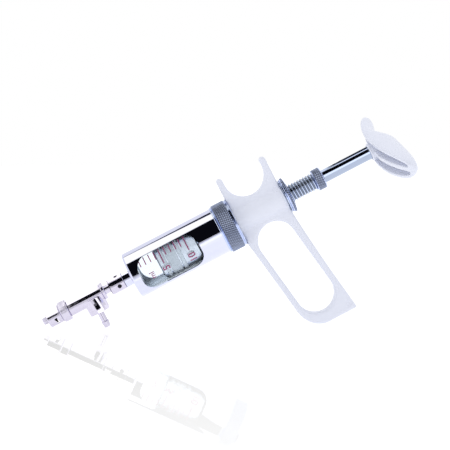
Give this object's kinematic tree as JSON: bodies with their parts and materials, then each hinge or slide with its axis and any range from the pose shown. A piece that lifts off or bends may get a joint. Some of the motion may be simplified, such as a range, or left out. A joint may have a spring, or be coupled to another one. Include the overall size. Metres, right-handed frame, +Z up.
{
  "type": "self-refilling dosing syringe",
  "caption": "Hand-held self-refilling syringe: windowed metal barrel, finger-loop handle, screw dose stop, sprung plunger with palm rest, side hose inlet.",
  "frame": {"origin": "bottom centre of the tool standing on its Luer collar, hose barb and finger loop", "axes": "+X from the Luer tip end towards the palm rest end, +Y from the front window to the rear window, +Z up; the tool axis rises 26.3 degrees from +X towards +Z"},
  "size_m": [0.2068, 0.0618, 0.1159],
  "materials": {
    "grip_plastic": "satin moulded polyamide, off-white",
    "chrome_case": "bright chrome over brass",
    "chrome_valve": "bright chrome over turned brass",
    "knurled_chrome": "chrome over rolled diamond knurl",
    "plunger_chrome": "polished chrome tube",
    "thread_steel": "turned thread",
    "turned_brass": "nickel-plated turned brass",
    "spring_steel": "drawn stainless wire",
    "ball_steel": "polished stainless ball",
    "barrel_glass": "clear borosilicate",
    "piston_band": "translucent fluoropolymer",
    "seal_rubber": "moulded silicone and nitrile"
  },
  "bodies": {
    "root": {"luer_nozzle": "chrome_valve", "luer_lock_collar": "chrome_valve", "nozzle_gasket": "seal_rubber", "valve_body": "chrome_valve", "outlet_spring": "spring_steel", "inlet_spring": "spring_steel", "inlet_nipple": "chrome_valve", "union_nut": "chrome_valve", "union_gasket": "seal_rubber", "barrel_case": "chrome_case", "front_gasket": "seal_rubber", "glass_cylinder": "barrel_glass", "rear_gasket": "seal_rubber", "guide_plate": "turned_brass", "return_spring": "spring_steel", "barrel_nut": "knurled_chrome", "handle_bush": "turned_brass", "handle": "grip_plastic", "sleeve_insert": "turned_brass"},
    "outlet_valve": {"outlet_ball": "ball_steel"},
    "inlet_valve": {"inlet_ball": "ball_steel"},
    "lock_washer": {"lock_washer": "thread_steel"},
    "lock_nut": {"lock_nut": "knurled_chrome"},
    "dose_stop": {"stop_washer": "thread_steel"},
    "dose_screw": {"dose_sleeve": "thread_steel", "dose_knob": "knurled_chrome"},
    "piston": {"piston_core": "turned_brass", "piston_ring_front": "seal_rubber", "piston_ring_rear": "seal_rubber", "piston_band": "piston_band", "piston_nut": "thread_steel", "piston_rod": "plunger_chrome"},
    "plunger": {"plunger_tube": "plunger_chrome", "tube_end_plug": "thread_steel", "thumb_nut": "thread_steel", "palm_rest": "grip_plastic"}
  },
  "joints": [
    {"name": "dose_travel", "type": "slide", "parent": "root", "child": "dose_stop", "axis": [0.8965, 0, 0.4431], "range_m": [0, 0.01837]},
    {"name": "dose_turn", "type": "hinge", "parent": "dose_stop", "child": "dose_screw", "pos_m": [0.05249, 0.00275, 0.081], "axis": [0.8965, 0, 0.4431], "range_deg": [0, 3780]},
    {"name": "lock_travel", "type": "slide", "parent": "root", "child": "lock_washer", "axis": [0.8965, 0, 0.4431], "range_m": [0, 0.00263]},
    {"name": "lock_turn", "type": "hinge", "parent": "lock_washer", "child": "lock_nut", "pos_m": [0.03546, 0.00275, 0.07258], "axis": [0.8965, 0, 0.4431], "range_deg": [0, 540]},
    {"name": "plunger_slide", "type": "slide", "parent": "dose_stop", "child": "piston", "axis": [-0.8965, 0, -0.4431], "range_m": [0, 0.01235], "stiffness_N_per_m": 250, "springref_m": -0.03, "deforming": ["return_spring"]},
    {"name": "thumb_turn", "type": "hinge", "parent": "piston", "child": "plunger", "pos_m": [0.08118, 0.00275, 0.09518], "axis": [0.8965, 0, 0.4431], "continuous": true},
    {"name": "outlet_lift", "type": "slide", "parent": "root", "child": "outlet_valve", "axis": [-0.8965, 0, -0.4431], "range_m": [0, 0.001], "stiffness_N_per_m": 60, "springref_m": -0.002, "deforming": ["outlet_spring"]},
    {"name": "inlet_lift", "type": "slide", "parent": "root", "child": "inlet_valve", "axis": [-0.4431, 0, 0.8965], "range_m": [0, 0.001], "stiffness_N_per_m": 60, "springref_m": -0.002, "deforming": ["inlet_spring"]}
  ],
  "couplings": [
    {"joint": "dose_turn", "follows": "dose_travel", "rad_per_m": 3590.4},
    {"joint": "lock_turn", "follows": "lock_travel", "rad_per_m": 3590.4}
  ]
}
